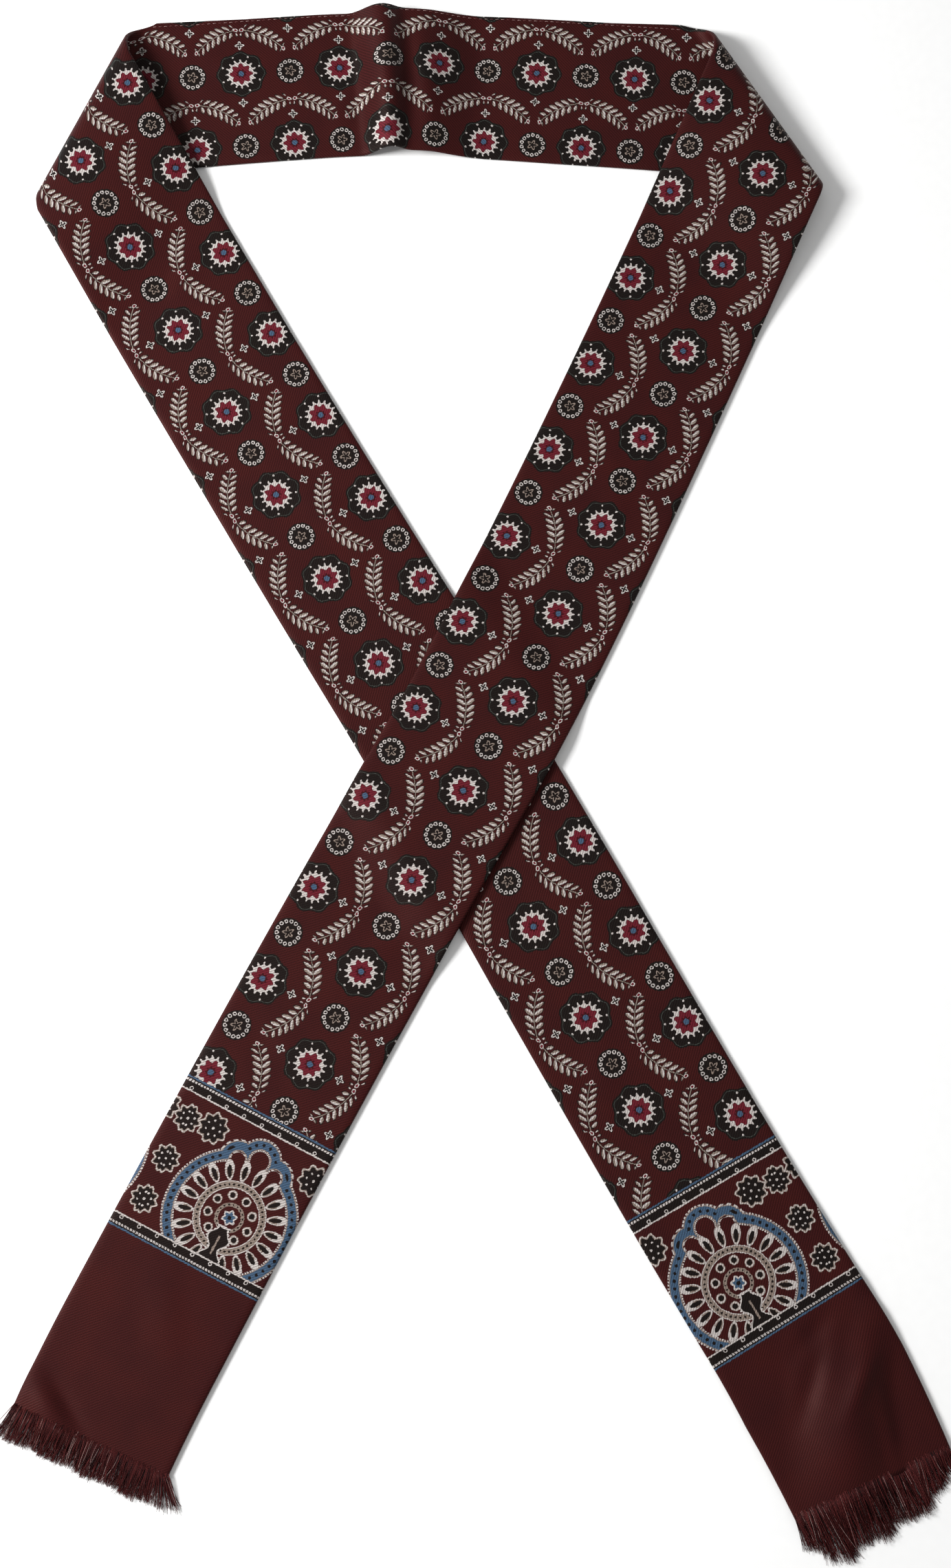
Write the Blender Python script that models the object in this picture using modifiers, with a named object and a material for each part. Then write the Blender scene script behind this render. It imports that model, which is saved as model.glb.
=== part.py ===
"""A skinny scarf in silk twill, laid flat in a loop with its two ends crossed.

The scarf is one length of cloth folded lengthwise and seamed along one long edge, so each stretch is a
flat tube of two layers. The neck lies across the top. Both legs are folded over onto it at the upper
corners, with a soft roll at each fold, and one leg crosses over the other. The ends are frayed.

Tables and sizes are in millimetres and degrees, and the meshes in metres. +X is right, +Y is towards the
neck and +Z is up. The origin is under the middle of the whole scarf, on the surface that it lies on.
"""

import math
from collections import namedtuple

import bmesh
import bpy
import numpy as np
from mathutils import Vector

MM = 0.001

# The cloth
CLOTH = 1.0  # one layer
SLOT = 0.4  # air between the two layers
THICK = 2 * CLOTH + SLOT  # a stretch lying flat
REST_GAP = 0.5  # between stretches that lie on one another
STACK = THICK + REST_GAP  # how far a stretch is lifted by the one beneath it

# Each stretch turns a little on its way. A leg is measured from its fold, the neck from the left fold.
Bend = namedtuple("Bend", "along heading width")
UNDER_START = (-200.2, 319.7)
UNDER_BENDS = (
    Bend(0, -60.3, 80.5),
    Bend(180, -59.8, 79.0),
    Bend(330, -58.8, 79.5),
    Bend(400, -60.4, 80.5),
    Bend(480, -60.8, 81.0),
    Bend(600, -60.3, 80.5),
    Bend(690, -58.8, 81.0),
    Bend(722, -62.5, 82.0),
    Bend(771, -66.5, 78.5),
)
OVER_START = (150.8, 324.4)
OVER_BENDS = (
    Bend(0, -113.8, 79.5),
    Bend(150, -114.3, 79.0),
    Bend(250, -115.3, 79.5),
    Bend(330, -116.8, 80.0),
    Bend(370, -119.6, 80.0),
    Bend(430, -118.9, 79.5),
    Bend(560, -117.8, 79.0),
    Bend(680, -117.2, 79.0),
    Bend(733, -114.0, 78.5),
)
NECK_START = (-195.3, 334.4)
NECK_BENDS = (
    Bend(0, 4.0, 83.0),
    Bend(60, 5.0, 80.0),
    Bend(112, 4.0, 79.5),
    Bend(145, 1.0, 79.0),
    Bend(175, -3.0, 78.0),
    Bend(230, -3.6, 79.5),
    Bend(300, -4.4, 80.0),
    Bend(345, -4.5, 83.0),
)

# The folds. Each roll is fuller at its upper corner, and its line is turned from square to the leg.
ROLL_UPPER = 6.5  # radius of the middle of the cloth, at the seamed edge
ROLL_LOWER = 4.5  # and at the plain one
LIP = 8.0  # the roll's lower end, from its outermost line
LIP_GAP = 1.4  # from there to the neck, square to the fold; least at the corners of the slanting ends
ROLL_STEPS = 6
SETTLE = 75.0  # distance over which a roll settles onto the neck
UNDER_SLANT = -34.0
OVER_SLANT = -33.0
UNDER_SQUARING = (150, 600)  # the sections turn square between these places
OVER_SQUARING = (470, 700)

# How a stretch comes down beside what it lies on
SHELF = 4.0
SLOPE = 26.0

# Soft ridges. Each runs across the cloth, turned from square, and rises and falls over its own widths.
Ridge = namedtuple("Ridge", "along across turn reach rise fall height")
NECK_RIDGES = (Ridge(152, 0, -4, 110, 17, 50, 13.0),)
UNDER_RIDGES = (
    Ridge(744, 0, -66, 60, 30, 24, 7.0),
    Ridge(722, 22, -50, 36, 12, 14, 2.5),
)
OVER_RIDGES = (Ridge(726, 24, -33, 28, 9, 14, 3.0),)

# Sections: cells across the cloth, and steps along it where it is plain and where it is shaped
CELLS = 6
PLAIN_STEP = 30.0
SHAPED_STEP = 13.0
UNDER_SHAPED = ((0, 150), (680, 771))
OVER_SHAPED = ((0, 150), (286, 330), (408, 452), (680, 733))
NECK_SHAPED = ((110, 215),)

# The frayed ends
# Across from the plain edge, 0, to the seamed one, 1. A strand leans towards the plain edge.
Lock = namedtuple("Lock", "across length lean")
UNDER_LOCKS = (
    Lock(0.0, 16.0, 0.0),
    Lock(0.06, 17.0, 0.0),
    Lock(0.11, 26.5, -2.0),
    Lock(0.25, 25.0, 0.0),
    Lock(0.75, 21.0, 1.0),
    Lock(0.9, 13.0, 3.0),
    Lock(1.0, 6.0, 4.0),
)
OVER_LOCKS = (
    Lock(0.0, 16.0, 46.0),
    Lock(0.04, 15.5, 30.0),
    Lock(0.08, 14.0, 6.0),
    Lock(0.93, 14.5, 0.0),
    Lock(1.0, 14.5, -10.0),
)
ROOT = 1.8  # narrow strip that one layer's strands stand in
ROOT_GAP = 0.8  # from the leg's end to the strip; least where the end is rippled
FRONT = 2  # the side of the strip that they stand in
STRANDS = 50
TAPER = 0.45  # a tip's size against its root's
TIP_HEIGHTS = {"upper": 1.6, "lower": 0.45}
DROOP = 0.75  # how nearly a strand's tip comes down to those heights
SHORTEST = 0.82  # share of a lock's length
SWAY = 3.0  # the clumps lean together by this angle
STRAY = 1.0  # and each strand by up to this angle more
CLUMP = 0.55  # radians of sway from strand to strand
SEED = 7

COLLECTION = "skinny_scarf"
BURGUNDY = (0.085, 0.012, 0.016, 1.0)
TWILL_ROUGHNESS = 0.55
THREAD = (0.11, 0.018, 0.022, 1.0)
THREAD_ROUGHNESS = 0.7


def eased(share):
    """From 0 to 1, level at both ends."""
    share = min(max(share, 0.0), 1.0)
    return share * share * (3 - 2 * share)


class Route:
    """A stretch's centre line, walked a millimetre at a time and turning evenly from bend to bend."""

    def __init__(self, start, bends, seam):
        self.seam = seam  # +1 where the seamed edge is on the left of the heading
        self.length = bends[-1].along
        steps = np.arange(0.0, self.length + 1.0)
        knots = [bend.along for bend in bends]
        heading = np.radians(np.interp(steps, knots, [bend.heading for bend in bends]))
        self.widths = np.interp(steps, knots, [bend.width for bend in bends])
        self.ahead = np.stack([np.cos(heading), np.sin(heading)], axis=1)
        strides = (self.ahead[1:] + self.ahead[:-1]) / 2
        self.line = np.array(start) + np.vstack([[0, 0], np.cumsum(strides, axis=0)])

    def step(self, along):
        return int(np.clip(round(along), 0, len(self.line) - 1))

    def side(self, step):
        """Unit vector square to the line, towards the seamed edge."""
        ahead = self.ahead[step]
        return self.seam * np.array([-ahead[1], ahead[0]])

    def half(self, along):
        return self.widths[self.step(along)] / 2

    def point(self, along, across):
        step = self.step(along)
        return self.line[step] + self.ahead[step] * (along - step) + self.side(step) * across

    def across(self, point):
        """How far a point lies from the line, towards the seamed edge."""
        step = int(np.argmin(((self.line - point) ** 2).sum(axis=1)))
        return float((point - self.line[step]) @ self.side(step))


UNDER = Route(UNDER_START, UNDER_BENDS, 1)
OVER = Route(OVER_START, OVER_BENDS, -1)
NECK = Route(NECK_START, NECK_BENDS, 1)


class Fold:
    """The outermost line of a leg's roll, through the start of its centre line."""

    def __init__(self, leg, slant):
        self.slope = math.tan(math.radians(slant))
        self.start = leg.line[0]
        along = leg.side(0) + leg.ahead[0] * self.slope
        self.along = along / np.linalg.norm(along)
        inward = leg.ahead[0] - self.along * (leg.ahead[0] @ self.along)
        self.inward = inward / np.linalg.norm(inward)
        self.edge = leg.half(0)

    def radius(self, across):
        share = (across + self.edge) / (2 * self.edge)
        return ROLL_LOWER + (ROLL_UPPER - ROLL_LOWER) * share

    def distance(self, point):
        return float((point - self.start) @ self.inward)

    def cut(self, route, guess, across, distance):
        """Where the line at this distance across a route meets one at a distance from the fold."""
        step = route.step(guess)
        short = distance - self.distance(route.point(guess, across))
        return guess + short / float(route.ahead[step] @ self.inward)


UNDER_FOLD = Fold(UNDER, UNDER_SLANT)
OVER_FOLD = Fold(OVER, OVER_SLANT)


def ridge_height(ridges, along, across):
    height = 0.0
    for ridge in ridges:
        turn = math.radians(ridge.turn)
        ahead, aside = along - ridge.along, across - ridge.across
        off = ahead * math.cos(turn) - aside * math.sin(turn)
        down = ahead * math.sin(turn) + aside * math.cos(turn)
        width = ridge.rise if off < 0 else ridge.fall
        height += ridge.height * eased(1 - abs(off) / width) * eased(1 - abs(down) / ridge.reach)
    return height


def carried(outside):
    """Lift at a distance outside the edge of the stretch beneath."""
    return STACK * (1 - eased((outside - SHELF) / SLOPE))


def leg_height(route, fold, ridges, beneath, along, across):
    """Middle of a leg's two layers: lifted by what it lies on, and puffed up near its roll."""
    point = route.point(along, across)
    lift = carried(-NECK.across(point) - NECK.half(0))
    if beneath:
        lift = max(lift, carried(abs(beneath.across(point)) - beneath.half(beneath.length / 2)))
    radius = fold.radius(across)
    puff = (2 * radius - lift) * (1 - eased((fold.distance(point) - radius) / SETTLE))
    return THICK / 2 + lift + puff + ridge_height(ridges, along, across)


def under_height(along, across):
    return leg_height(UNDER, UNDER_FOLD, UNDER_RIDGES, None, along, across)


def over_height(along, across):
    return leg_height(OVER, OVER_FOLD, OVER_RIDGES, UNDER, along, across)


def neck_height(along, across):
    return THICK / 2 + ridge_height(NECK_RIDGES, along, across)


def stations(start, end, shaped):
    """Places along a stretch, close together where the cloth is shaped."""
    places = [start]
    while places[-1] < end:
        here = places[-1]
        close = any(low - PLAIN_STEP / 2 < here < high for low, high in shaped)
        places.append(here + (SHAPED_STEP if close else PLAIN_STEP))
    shrink = (end - start) / (places[-1] - start)
    return [start + (place - start) * shrink for place in places]


def spots(half):
    """Distances of a section's points from the middle, edges included."""
    flat = half - THICK / 2
    return [-half, *np.linspace(-flat, flat, CELLS + 1), half]


def leg_middle(route, fold, neck_end, squaring, shaped, height):
    """Rows of points down the middle of a leg's two layers: under the roll, round it and to the end."""
    rows = []
    neck_half = NECK.half(neck_end)
    lip = [NECK.point(fold.cut(NECK, neck_end, across, LIP), across) for across in spots(neck_half)]
    rows.append([(*place, THICK / 2) for place in lip])
    for turn in np.linspace(-math.pi / 2, math.pi / 2, ROLL_STEPS + 1)[:-1]:
        row = []
        for across, end in zip(spots(route.half(0)), lip):
            radius = fold.radius(across)
            top = route.point(fold.cut(route, 0, across, radius), across)
            unrolled = radius * (math.pi / 2 - turn)
            share = unrolled / (radius * math.pi + LIP - radius)
            sideways = (1 - share) * (top @ fold.along) + share * (end @ fold.along)
            inward = fold.start @ fold.inward + radius * (1 - math.cos(turn))
            place = fold.along * sideways + fold.inward * inward
            row.append((*place, THICK / 2 + radius * (1 + math.sin(turn))))
        rows.append(row)
    first = fold.radius(0) / (fold.inward @ route.ahead[0])
    low, high = squaring
    for place in stations(first, route.length, shaped):
        slope = fold.slope * (1 - eased((place - low) / (high - low)))
        row = []
        for across in spots(route.half(place)):
            along = place + slope * across
            if place == first:
                along = fold.cut(route, 0, across, fold.radius(across))
            row.append((*route.point(along, across), height(along, across)))
        rows.append(row)
    return np.array(rows)


def neck_middle():
    """Rows of points down the middle of the neck's two layers, between the lips of the rolls."""
    rows = []
    inset = LIP + LIP_GAP
    for place in stations(0, NECK.length, NECK_SHAPED):
        share = place / NECK.length
        row = []
        for across in spots(NECK.half(place)):
            left = UNDER_FOLD.cut(NECK, 0, across, inset)
            right = OVER_FOLD.cut(NECK, NECK.length, across, inset)
            along = left + (right - left) * share
            row.append((*NECK.point(along, across), neck_height(along, across)))
        rows.append(row)
    return np.array(rows)


def tube(name, middle, material):
    """Two layers of cloth, closed along both edges, about rows of points down their middle."""
    down, over = np.gradient(middle, axis=0), np.gradient(middle, axis=1)
    out = np.cross(over, down)
    out /= np.linalg.norm(out, axis=2)[:, :, None]
    if out[-1, 0, 2] < 0:
        out = -out
    upper = middle + out * THICK / 2
    lower = middle - out * THICK / 2
    mesh = bmesh.new()
    rings = []
    for row, above, below in zip(middle, upper, lower):
        ring = [row[0], *above[1:-1], row[-1], *below[-2:0:-1]]
        rings.append([mesh.verts.new(place * MM) for place in ring])
    for ring, following in zip(rings, rings[1:]):
        for corner in range(len(ring)):
            after = (corner + 1) % len(ring)
            mesh.faces.new((ring[corner], ring[after], following[after], following[corner]))
    piece = finished(name, mesh, material)
    walls = piece.modifiers.new("Wall", "SOLIDIFY")
    walls.thickness = CLOTH * MM
    walls.offset = -1
    walls.use_even_offset = True
    return piece


def fringe(name, route, height, locks, layer, material, random):
    """The frayed threads of one layer at a leg's end, standing in a narrow strip."""
    lowest = SLOT / 2 if layer == "upper" else -THICK / 2
    half = route.half(route.length)
    back = route.length + ROOT_GAP
    front = back + ROOT
    mesh = bmesh.new()
    rings = []
    for across in np.linspace(-half, half, 2 * STRANDS + 2):
        ring = []
        for along, rise in ((back, 0), (back, CLOTH), (front, CLOTH), (front, 0)):
            level = height(back, across) + lowest + rise
            ring.append(mesh.verts.new(np.array([*route.point(along, across), level]) * MM))
        rings.append(ring)
    roots = []
    for number, (ring, following) in enumerate(zip(rings, rings[1:])):
        sides = []
        for corner in range(len(ring)):
            after = (corner + 1) % len(ring)
            sides.append(mesh.faces.new((ring[corner], ring[after], following[after], following[corner])))
        if number % 2:
            roots.append(sides[FRONT])
    mesh.faces.new(reversed(rings[0]))
    mesh.faces.new(rings[-1])
    bmesh.ops.recalc_face_normals(mesh, faces=mesh.faces)
    drawn = bmesh.ops.extrude_discrete_faces(mesh, faces=roots)["faces"]
    ahead = route.ahead[-1]
    knots = [lock.across for lock in locks]
    for number, tip in enumerate(drawn):
        across = number / (STRANDS - 1)
        lean = np.interp(across, knots, [lock.lean for lock in locks]) * route.seam * -1
        lean = math.radians(lean + SWAY * math.sin(CLUMP * number) + random.uniform(-STRAY, STRAY))
        longest = np.interp(across, knots, [lock.length for lock in locks])
        reach = (longest * random.uniform(SHORTEST, 1.0) - ROOT) * MM
        middle = tip.calc_center_median()
        drop = (middle.z - TIP_HEIGHTS[layer] * MM) * DROOP
        turned = (
            ahead[0] * math.cos(lean) - ahead[1] * math.sin(lean),
            ahead[0] * math.sin(lean) + ahead[1] * math.cos(lean),
        )
        end = middle + Vector((turned[0] * reach, turned[1] * reach, -drop))
        for corner in tip.verts:
            corner.co = end + (corner.co - middle) * TAPER
    return finished(name, mesh, material)


def finished(name, mesh, material):
    """The mesh as a named object in the scarf's collection."""
    bmesh.ops.recalc_face_normals(mesh, faces=mesh.faces)
    data = bpy.data.meshes.new(name)
    mesh.to_mesh(data)
    mesh.free()
    data.materials.append(material)
    piece = bpy.data.objects.new(name, data)
    bpy.data.collections[COLLECTION].objects.link(piece)
    return piece


def cloth(name, colour, roughness):
    material = bpy.data.materials.new(name)
    material.use_nodes = True
    shader = material.node_tree.nodes["Principled BSDF"]
    shader.inputs["Base Color"].default_value = colour
    shader.inputs["Roughness"].default_value = roughness
    shader.inputs["Metallic"].default_value = 0.0
    return material


def main():
    for old in list(bpy.data.objects):
        bpy.data.objects.remove(old)
    bpy.context.scene.collection.children.link(bpy.data.collections.new(COLLECTION))
    twill = cloth("burgundy_twill", BURGUNDY, TWILL_ROUGHNESS)
    thread = cloth("frayed_thread", THREAD, THREAD_ROUGHNESS)
    under = leg_middle(UNDER, UNDER_FOLD, 0, UNDER_SQUARING, UNDER_SHAPED, under_height)
    over = leg_middle(OVER, OVER_FOLD, NECK.length, OVER_SQUARING, OVER_SHAPED, over_height)
    tube("leg_under", under, twill)
    tube("leg_over", over, twill)
    tube("neck", neck_middle(), twill)
    random = np.random.default_rng(SEED)
    for layer in ("upper", "lower"):
        fringe("fringe_under_" + layer, UNDER, under_height, UNDER_LOCKS, layer, thread, random)
        fringe("fringe_over_" + layer, OVER, over_height, OVER_LOCKS, layer, thread, random)


main()
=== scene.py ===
"""Looks of the skinny scarf: printed twill, rolled folds, seam stitches and frayed ends.

Tables and sizes are in millimetres and degrees, and the meshes in metres. +X is right, +Y is towards the
neck and +Z is up. One strip of cloth is followed from the end of the leg beneath, over its fold, along the
neck, over the other fold and down the leg on top. It is a flat tube, so a place on it is given by its
distance along the strip and by its distance round the tube from the seam.
"""

import math
from collections import namedtuple

import bmesh
import bpy
import numpy as np
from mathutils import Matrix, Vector


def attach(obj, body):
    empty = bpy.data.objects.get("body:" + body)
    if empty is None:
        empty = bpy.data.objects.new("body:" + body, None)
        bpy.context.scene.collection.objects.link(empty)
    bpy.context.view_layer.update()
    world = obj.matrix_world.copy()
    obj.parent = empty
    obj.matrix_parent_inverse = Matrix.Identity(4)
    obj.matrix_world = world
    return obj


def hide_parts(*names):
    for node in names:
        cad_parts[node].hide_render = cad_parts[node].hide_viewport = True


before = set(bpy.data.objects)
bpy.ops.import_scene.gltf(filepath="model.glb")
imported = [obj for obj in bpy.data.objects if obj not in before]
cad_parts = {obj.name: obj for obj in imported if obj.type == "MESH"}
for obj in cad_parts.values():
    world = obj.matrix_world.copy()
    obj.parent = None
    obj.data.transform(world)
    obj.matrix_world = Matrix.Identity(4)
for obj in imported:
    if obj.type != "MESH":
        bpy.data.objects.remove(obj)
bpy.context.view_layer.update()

MM = 0.001
BODY = "root"

# The cloth
FACING = 0.5  # one layer of twill, as it is dressed here
THICK = 2.4  # both layers of a stretch lying flat
STACK = THICK + 0.5  # how far a stretch is lifted by the one beneath it
GIRTH = 160.0  # once round the tube
WIDTH = 80.0  # folded

# Each stretch turns a little on its way. A leg is measured from its fold, the neck from the left fold.
Bend = namedtuple("Bend", "along heading width")
UNDER_START = (-200.2, 319.7)
UNDER_BENDS = (
    Bend(0, -60.3, 80.5),
    Bend(180, -59.8, 79.0),
    Bend(330, -58.8, 79.5),
    Bend(400, -60.4, 80.5),
    Bend(480, -60.8, 81.0),
    Bend(600, -60.3, 80.5),
    Bend(690, -58.8, 81.0),
    Bend(722, -62.5, 82.0),
    Bend(771, -66.5, 78.5),
)
OVER_START = (150.8, 324.4)
OVER_BENDS = (
    Bend(0, -113.8, 79.5),
    Bend(150, -114.3, 79.0),
    Bend(250, -115.3, 79.5),
    Bend(330, -116.8, 80.0),
    Bend(370, -119.6, 80.0),
    Bend(430, -118.9, 79.5),
    Bend(560, -117.8, 79.0),
    Bend(680, -117.2, 79.0),
    Bend(733, -114.0, 78.5),
)
NECK_START = (-195.3, 334.4)
NECK_BENDS = (
    Bend(0, 4.0, 83.0),
    Bend(60, 5.0, 80.0),
    Bend(112, 4.0, 79.5),
    Bend(145, 1.0, 79.0),
    Bend(175, -3.0, 78.0),
    Bend(230, -3.6, 79.5),
    Bend(300, -4.4, 80.0),
    Bend(345, -4.5, 83.0),
)

# The folds. Each leg begins with a roll that ends beneath in a lip, beside the neck's own end.
ROLL_UPPER = 6.5  # radius at the seamed edge
ROLL_LOWER = 4.5  # and at the plain one
ROLL_STEPS = 16
LIP = 8.0  # from the fold's line
LIP_GAP = 1.4
SETTLE = 75.0  # a leg lies flat from here on
UNDER_SLANT = -34.0  # of the fold's line, from square to the leg
OVER_SLANT = -33.0
UNDER_SQUARING = (150, 600)  # where the leg's rows turn from the fold's slant to square
OVER_SQUARING = (470, 700)
SHELF = 4.0  # how far cloth stays up beside the stretch beneath
SLOPE = 26.0  # and over what distance it then comes down

# Soft ridges and troughs. Each runs across the cloth, turned from square, with its own widths. Those of more
# than GREAT move both layers, and the greatest are in the solids too. The rest are in the upper layer alone.
GREAT = 2.0
Ridge = namedtuple("Ridge", "along across turn reach rise fall height")
NECK_RIDGES = (
    Ridge(152, 0, -4, 110, 17, 50, 13.0),
    Ridge(152, 0, -4, 90, 20, 8, 2.2),
    Ridge(162, 0, -4, 90, 8, 14, -3.4),
    Ridge(170, 6, -8, 44, 7, 7, 1.1),
    Ridge(196, 22, -14, 34, 14, 18, -0.7),
    Ridge(128, -14, 8, 26, 9, 12, 0.5),
    Ridge(70, 12, -52, 30, 8, 13, 0.5),
    Ridge(252, -6, 38, 34, 9, 14, 0.45),
)
UNDER_RIDGES = (
    Ridge(744, 0, -66, 60, 30, 24, 7.0),
    Ridge(722, 22, -50, 36, 12, 14, 2.5),
    Ridge(699, 8, -20, 20, 7, 7, -1.1),
    Ridge(718, -4, -47, 30, 8, 6, -1.6),
    Ridge(729, 14, -40, 24, 5, 5, 1.4),
    Ridge(752, 16, -78, 34, 5, 6, 1.2),
    Ridge(690, 37, 12, 9, 7, 8, 0.9),
    Ridge(92, 10, -48, 30, 8, 12, 0.55),
    Ridge(148, -12, 30, 34, 12, 15, -0.5),
    Ridge(236, 8, 66, 40, 9, 14, 0.45),
    Ridge(388, 2, -30, 36, 12, 14, -0.55),
    Ridge(471, 12, 58, 44, 8, 14, 0.5),
    Ridge(548, -16, -64, 38, 10, 12, 0.4),
    Ridge(633, 10, 25, 30, 9, 12, 0.5),
)
OVER_RIDGES = (
    Ridge(726, 24, -33, 28, 9, 14, 3.0),
    Ridge(721, 18, -30, 22, 5, 6, -1.1),
    Ridge(66, -6, 44, 34, 9, 13, 0.5),
    Ridge(137, 12, -36, 30, 8, 12, -0.45),
    Ridge(214, -8, -62, 40, 9, 13, 0.45),
    Ridge(372, 6, 40, 34, 9, 13, 0.35),
    Ridge(473, -10, 64, 44, 9, 14, 0.45),
    Ridge(536, 14, -30, 30, 8, 12, -0.45),
    Ridge(664, -4, -56, 40, 10, 15, 0.5),
)

# Sections: how far apart they are, and the finer stretches
CELLS = 30
EDGE_SPOTS = (0.0, 0.12, 0.5, 1.2)  # from the edge inwards, round its turn
PLAIN_STEP = 5.0
SHAPED_STEP = 2.2
UNDER_SHAPED = ((0, 120), (676, 771))
OVER_SHAPED = ((0, 120), (286, 330), (408, 452), (690, 733))
NECK_SHAPED = ((112, 210),)
UNDERSIDE = 0.6  # a slight ridge's share that shows as a hollow beneath
PUCKER = 0.16  # the seam draws the cloth in between its stitches
PUCKER_PITCH = 2.8
PUCKER_DEPTH = 5.0

# The frayed ends: across from the plain edge, 0, to the seamed one, 1. A thread leans to the plain edge.
Lock = namedtuple("Lock", "across length lean")
UNDER_LOCKS = (
    Lock(0.0, 16.0, 0.0),
    Lock(0.06, 17.0, 0.0),
    Lock(0.11, 26.5, -2.0),
    Lock(0.25, 25.0, 0.0),
    Lock(0.75, 21.0, 1.0),
    Lock(0.9, 13.0, 3.0),
    Lock(1.0, 6.0, 4.0),
)
OVER_LOCKS = (
    Lock(0.0, 16.0, 46.0),
    Lock(0.04, 15.5, 30.0),
    Lock(0.08, 14.0, 6.0),
    Lock(0.93, 14.5, 0.0),
    Lock(1.0, 14.5, -10.0),
)
THREADS = 520  # to a layer
THREAD_RADIUS = (0.14, 0.22)
THREAD_TAPER = 0.45
THREAD_SIDES = (math.pi / 2, math.pi * 7 / 6, math.pi * 11 / 6)
THREAD_SPOTS = 7
THREAD_REST = 0.35  # a thread's middle over the table, at its tip
THREAD_PILE = (0.2, 1.8)  # how far above that the tips of the upper layer lie
DROOP_START = 0.05  # a thread comes down from just past its root to a little before its tip
DROOP_RATE = 1.15
THREAD_INSET = 0.3  # from the cloth's side edges
RAVEL = (0.4, 3.2)  # how far inside the end the threads start
SHORTEST = 0.83
STRAY = 3.0  # degrees
CURL = 1.3  # sideways at the tip
CURL_POWER = 2.5
CLUMPS = (3.1, 1.7)  # widths of the clumps
CLUMP_LEAN = 5.0  # degrees
CLUMP_SHARE = 0.06  # of a thread's length
THREAD_SEED = 5

# Running stitches along the seam
STITCH_INSET = 1.6
STITCH_LENGTH = 1.7
STITCH_PITCH = 2.8
STITCH_RADIUS = 0.16
STITCH_DIP = 0.2
STITCH_SPOTS = 7

# The print's colours
BURGUNDY = (0.0345, 0.0052, 0.005)
BURGUNDY_DEEP = (0.0265, 0.004, 0.0044)
INK = (0.0042, 0.0048, 0.0045)
MOSS = (0.034, 0.042, 0.037)
CREAM = (0.41, 0.375, 0.355)
TAUPE = (0.19, 0.15, 0.125)
CRIMSON = (0.095, 0.0085, 0.0155)
DRIED_ROSE = (0.034, 0.0032, 0.0055)
BLUE = (0.038, 0.075, 0.125)
THREAD_DARK = (0.012, 0.004, 0.0045)
THREAD_RED = (0.068, 0.011, 0.011)
THREAD_WARM = (0.12, 0.024, 0.023)
THREAD_PALE = (0.42, 0.3, 0.28)
STITCH_PALE = (0.55, 0.36, 0.34)
STITCH_DYED = (0.22, 0.06, 0.06)

# The threads' finishes
SCATTER = 37.0  # mixes up neighbouring threads
RED_FROM = 0.3  # the share of threads below which none is this pale, and how gradually they get so
RED_SOFT = 0.3
WARM_FROM = 0.78
WARM_SOFT = 0.2
PALE_FROM = 0.955
PALE_SOFT = 0.02
PALE_ROOT = 0.3
TIP_WARMTH = 0.35
THREAD_TWIST = 90.0
TWIST_SPREAD = 300.0
STITCH_TWIST = 40.0
DYE_SCATTER = 61.0
DYE_FROM = 0.55
DYE_SOFT = 0.5

# The print's layout
EDGE_SOFT = 0.16  # how softly its shapes end
BLEED = 0.5  # how far their outlines wander
REPEAT = 50.0  # along the strip
LANE = 40.0  # round the tube
LANE_SHIFT = 11.0
SPRIG_TURN = math.radians(29.4)
STAR_ACROSS = 16.0
UNDER_SHORT = 11.0  # the end of the leg beneath was cut this much shorter
BAND_START = 91.5
BAND_LENGTH = 78.0
STRIPES = 7.0
ARCH_REPEAT = 80.0
ARCH_SHIFT = 0.5 - 50.0 / ARCH_REPEAT
ZONE_MARGIN = 2.0  # a face this far from the border has only its own side's print
FIELD_ZONE, BORDER_ZONE, PLAIN_ZONE = range(3)

# The motifs. A line is given by the distance that its middle keeps and by half its width, and a distance
# from an outline is negative inside it. A rim is how far the next ink stays inside the outline.
Lobes = namedtuple("Lobes", "radius depth")
Beads = namedtuple("Beads", "count ring radius")
Line = namedtuple("Line", "middle half")
FLOWER_RIM = 0.75

ROSETTE_LOBES = 8
ROSETTE_TEETH = 32
ROSETTE_EDGE = Lobes(12.3, 0.6)
ROSETTE_PIPING = Line(-1.0, 0.14)
ROSETTE_FRILL = Lobes(7.7, 0.4)
ROSETTE_DOTS = Beads(8, 10.0, 0.5)
ROSETTE_BEADS = Beads(16, 7.4, 1.05)
ROSETTE_PETALS = Lobes(4.9, 0.8)
ROSETTE_OUTLINE = 0.25
ROSETTE_HEART = Lobes(2.3, -0.4)
ROSETTE_EYE = 1.4

ROUNDEL_RADIUS = 7.1
ROUNDEL_LOOPS = Beads(14, 5.5, 0.72)
ROUNDEL_LOOP_LINE = 0.23
ROUNDEL_PETALS = 5
ROUNDEL_FLOWER = Lobes(2.2, 0.75)

STAR_POINTS = 4
STAR = Lobes(1.75, 0.65)
STAR_OUTLINE = 0.35

SPRIG_REACH = 11.3  # to either side of its middle
SPRIG_BEND = 0.015
SPRIG_RISE = 0.7
STEM = 0.22
LEAF_PITCH = 3.3
LEAF_OUT = 2.3
LEAF_LEAN = (0.62, 0.78)  # ahead and aside
LEAF_LENGTH = 2.2
LEAF_WIDTH = 0.85
LEAF_SIZE = 1.05  # of the middle leaves, to the length and width above
LEAF_SHRINK = 0.004
LEAF_OUTLINE = 0.32
LEAF_RIB = 2.0  # how sharply its cream half ends at its rib
LEAF_SOFT = 0.3
BERRY_ALONG = 11.8
BERRY = 1.05
BERRY_HEART = 0.6

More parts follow.
